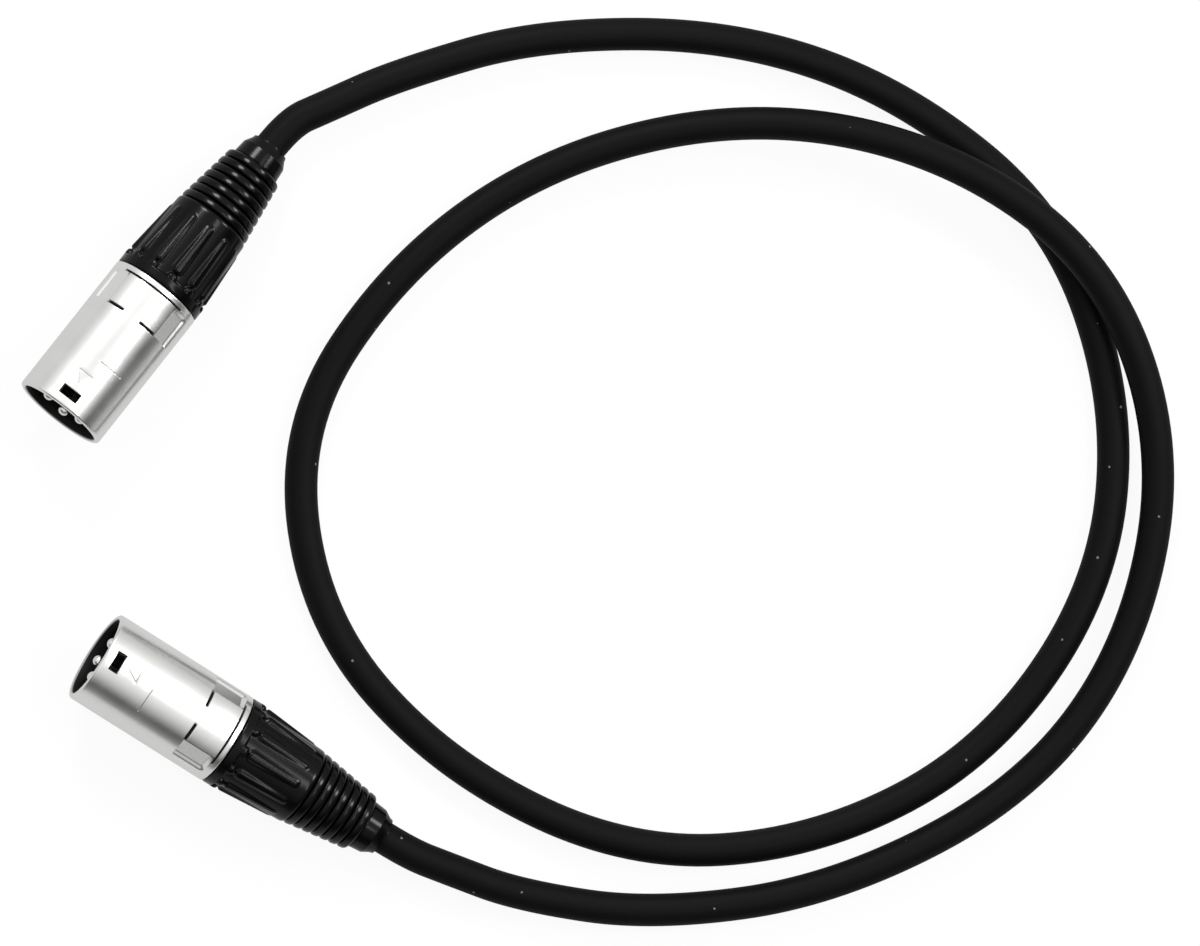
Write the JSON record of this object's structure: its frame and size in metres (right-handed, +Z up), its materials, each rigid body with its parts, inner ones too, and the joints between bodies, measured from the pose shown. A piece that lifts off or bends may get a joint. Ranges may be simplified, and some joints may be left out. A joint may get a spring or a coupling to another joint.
{
  "type": "xlr cable coil",
  "caption": "Short microphone patch cable lying in a loose coil, with a round metal male plug and a ridged rubber boot on each end.",
  "frame": {"origin": "on the surface that the cable lies on, at the middle of the box round the two plugs", "axes": "+Z up from the surface; +Y to the top of the picture and +X to its right, with the plugs on the -X side and the coil's loops towards +X"},
  "size_m": [0.2283, 0.1793, 0.0233],
  "materials": {
    "satin_nickel": "satin nickel plating",
    "contact_silver": "silver plating",
    "insert_black": "matte",
    "spring_bronze": "plain",
    "solder": "dull",
    "chuck_white": "smooth",
    "bushing_black": "matte",
    "boot_rubber": "satin",
    "cable_jacket": "matte",
    "screen_copper": "bare strands",
    "core_red": "smooth",
    "core_white": "smooth"
  },
  "bodies": {
    "cable": {"shell_a": "satin_nickel", "insert_a": "insert_black", "earth_spring_a": "spring_bronze", "solder_joints_a": "solder", "screen_tail_a": "screen_copper", "hot_core_a": "core_red", "cold_core_a": "core_white", "cable_end_a": "cable_jacket", "contact_1_a": "contact_silver", "contact_2_a": "contact_silver", "contact_3_a": "contact_silver", "shell_b": "satin_nickel", "insert_b": "insert_black", "earth_spring_b": "spring_bronze", "solder_joints_b": "solder", "screen_tail_b": "screen_copper", "hot_core_b": "core_red", "cold_core_b": "core_white", "cable_end_b": "cable_jacket", "contact_1_b": "contact_silver", "contact_2_b": "contact_silver", "contact_3_b": "contact_silver", "cable_jacket": "cable_jacket"},
    "chuck_a": {"chuck_a": "chuck_white"},
    "gland_a": {"bushing_a": "bushing_black", "boot_a": "boot_rubber"},
    "chuck_b": {"chuck_b": "chuck_white"},
    "gland_b": {"bushing_b": "bushing_black", "boot_b": "boot_rubber"}
  },
  "joints": [
    {"name": "chuck_slide_a", "type": "slide", "parent": "cable", "child": "chuck_a", "axis": [0.6186, 0.7762, -0.1219], "range_m": [0, 0.005]},
    {"name": "gland_turn_a", "type": "hinge", "parent": "chuck_a", "child": "gland_a", "pos_m": [-0.01022, 0.03976, 0.01017], "axis": [0.6186, 0.7762, -0.1219], "range_deg": [0, 1800]},
    {"name": "chuck_slide_b", "type": "slide", "parent": "cable", "child": "chuck_b", "axis": [0.8413, -0.5267, -0.1219], "range_m": [0, 0.005]},
    {"name": "gland_turn_b", "type": "hinge", "parent": "chuck_b", "child": "gland_b", "pos_m": [0.00368, -0.04783, 0.01017], "axis": [0.8413, -0.5267, -0.1219], "range_deg": [0, 1800]}
  ],
  "couplings": [
    {"joint": "chuck_slide_a", "follows": "gland_turn_a", "m_per_rad": 0.000159},
    {"joint": "chuck_slide_b", "follows": "gland_turn_b", "m_per_rad": 0.000159}
  ]
}
